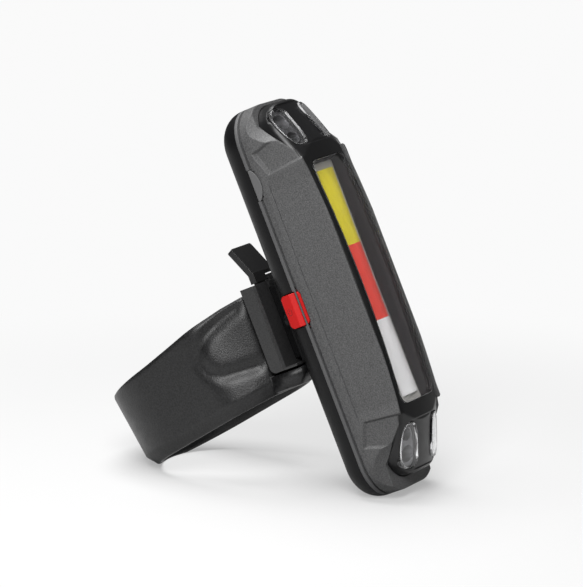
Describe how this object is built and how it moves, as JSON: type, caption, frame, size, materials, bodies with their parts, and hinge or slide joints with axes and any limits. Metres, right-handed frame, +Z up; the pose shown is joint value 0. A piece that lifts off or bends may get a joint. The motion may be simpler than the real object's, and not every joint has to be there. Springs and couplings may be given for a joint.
{
  "type": "bicycle tail light",
  "caption": "Bicycle tail light with a long arched lens over a coloured emitter strip, small lenses at both ends, a side button, and a rubber seat-post strap on a slide-in bracket.",
  "frame": {"origin": "centre of the bounding box's footprint, on the floor that the light stands on", "axes": "+Z up, +Y from the lens side towards the strap, +X to the lamp's right seen from the front, with the power button on -X"},
  "size_m": [0.036, 0.0872, 0.0959],
  "materials": {
    "shell_black": "satin",
    "bezel_black": "gloss",
    "seal_grey": "matt",
    "clear_lens": "gloss",
    "reflector_metal": "gloss",
    "led_yellow": "gloss",
    "tray_black": "gloss",
    "strip_board": "satin",
    "phosphor_yellow": "satin",
    "phosphor_red": "satin",
    "phosphor_white": "satin",
    "board_green": "satin",
    "cell_foil": "satin",
    "tab_nickel": "satin",
    "switch_black": "matt",
    "button_red": "satin",
    "port_steel": "satin",
    "flap_grey": "matt",
    "screw_steel": "satin",
    "screw_black": "satin",
    "shoe_black": "matt",
    "bracket_grey": "matt",
    "plate_black": "matt",
    "strap_rubber": "matt"
  },
  "bodies": {
    "bracket": {"bracket_block": "bracket_grey", "lever_pin": "screw_steel", "strap_plate": "plate_black", "plate_screws": "screw_steel", "strap": "strap_rubber"},
    "lamp": {"rear_shell": "shell_black", "front_housing": "shell_black", "bezel": "bezel_black", "seam_trim": "seal_grey", "window_lens": "clear_lens", "end_lens_top_left": "clear_lens", "end_lens_top_right": "clear_lens", "end_lens_bottom_left": "clear_lens", "end_lens_bottom_right": "clear_lens", "end_reflectors_top": "reflector_metal", "end_reflectors_bottom": "reflector_metal", "end_leds_top": "led_yellow", "end_leds_bottom": "led_yellow", "window_tray": "tray_black", "cob_board": "strip_board", "cob_yellow": "phosphor_yellow", "cob_red": "phosphor_red", "cob_white": "phosphor_white", "main_board": "board_green", "battery_cell": "cell_foil", "battery_tabs": "tab_nickel", "tactile_switch": "switch_black", "usb_port": "port_steel", "case_screws": "screw_steel", "shoe_screws": "screw_black", "slide_shoe": "shoe_black"},
    "lever": {"release_lever": "bracket_grey"},
    "button": {"power_button": "button_red"},
    "flap": {"port_cover": "flap_grey"}
  },
  "joints": [
    {"name": "lamp_slide", "type": "slide", "parent": "bracket", "child": "lamp", "axis": [0, 0.4067, 0.9135], "range_m": [0, 0.022]},
    {"name": "lever_tilt", "type": "hinge", "parent": "bracket", "child": "lever", "pos_m": [-0.00195, 0.00141, 0.04725], "axis": [-1, 0, 0], "range_deg": [0, 7], "stiffness_Nm_per_rad": 0.02, "springref_deg": -5.73},
    {"name": "button_press", "type": "slide", "parent": "lamp", "child": "button", "axis": [1, 0, 0], "range_m": [0, 0.0006], "stiffness_N_per_m": 1000, "springref_m": -0.0005},
    {"name": "flap_open", "type": "hinge", "parent": "lamp", "child": "flap", "pos_m": [-0.01375, -0.00274, 0.07647], "axis": [0, -0.4067, -0.9135], "range_deg": [0, 75]}
  ]
}
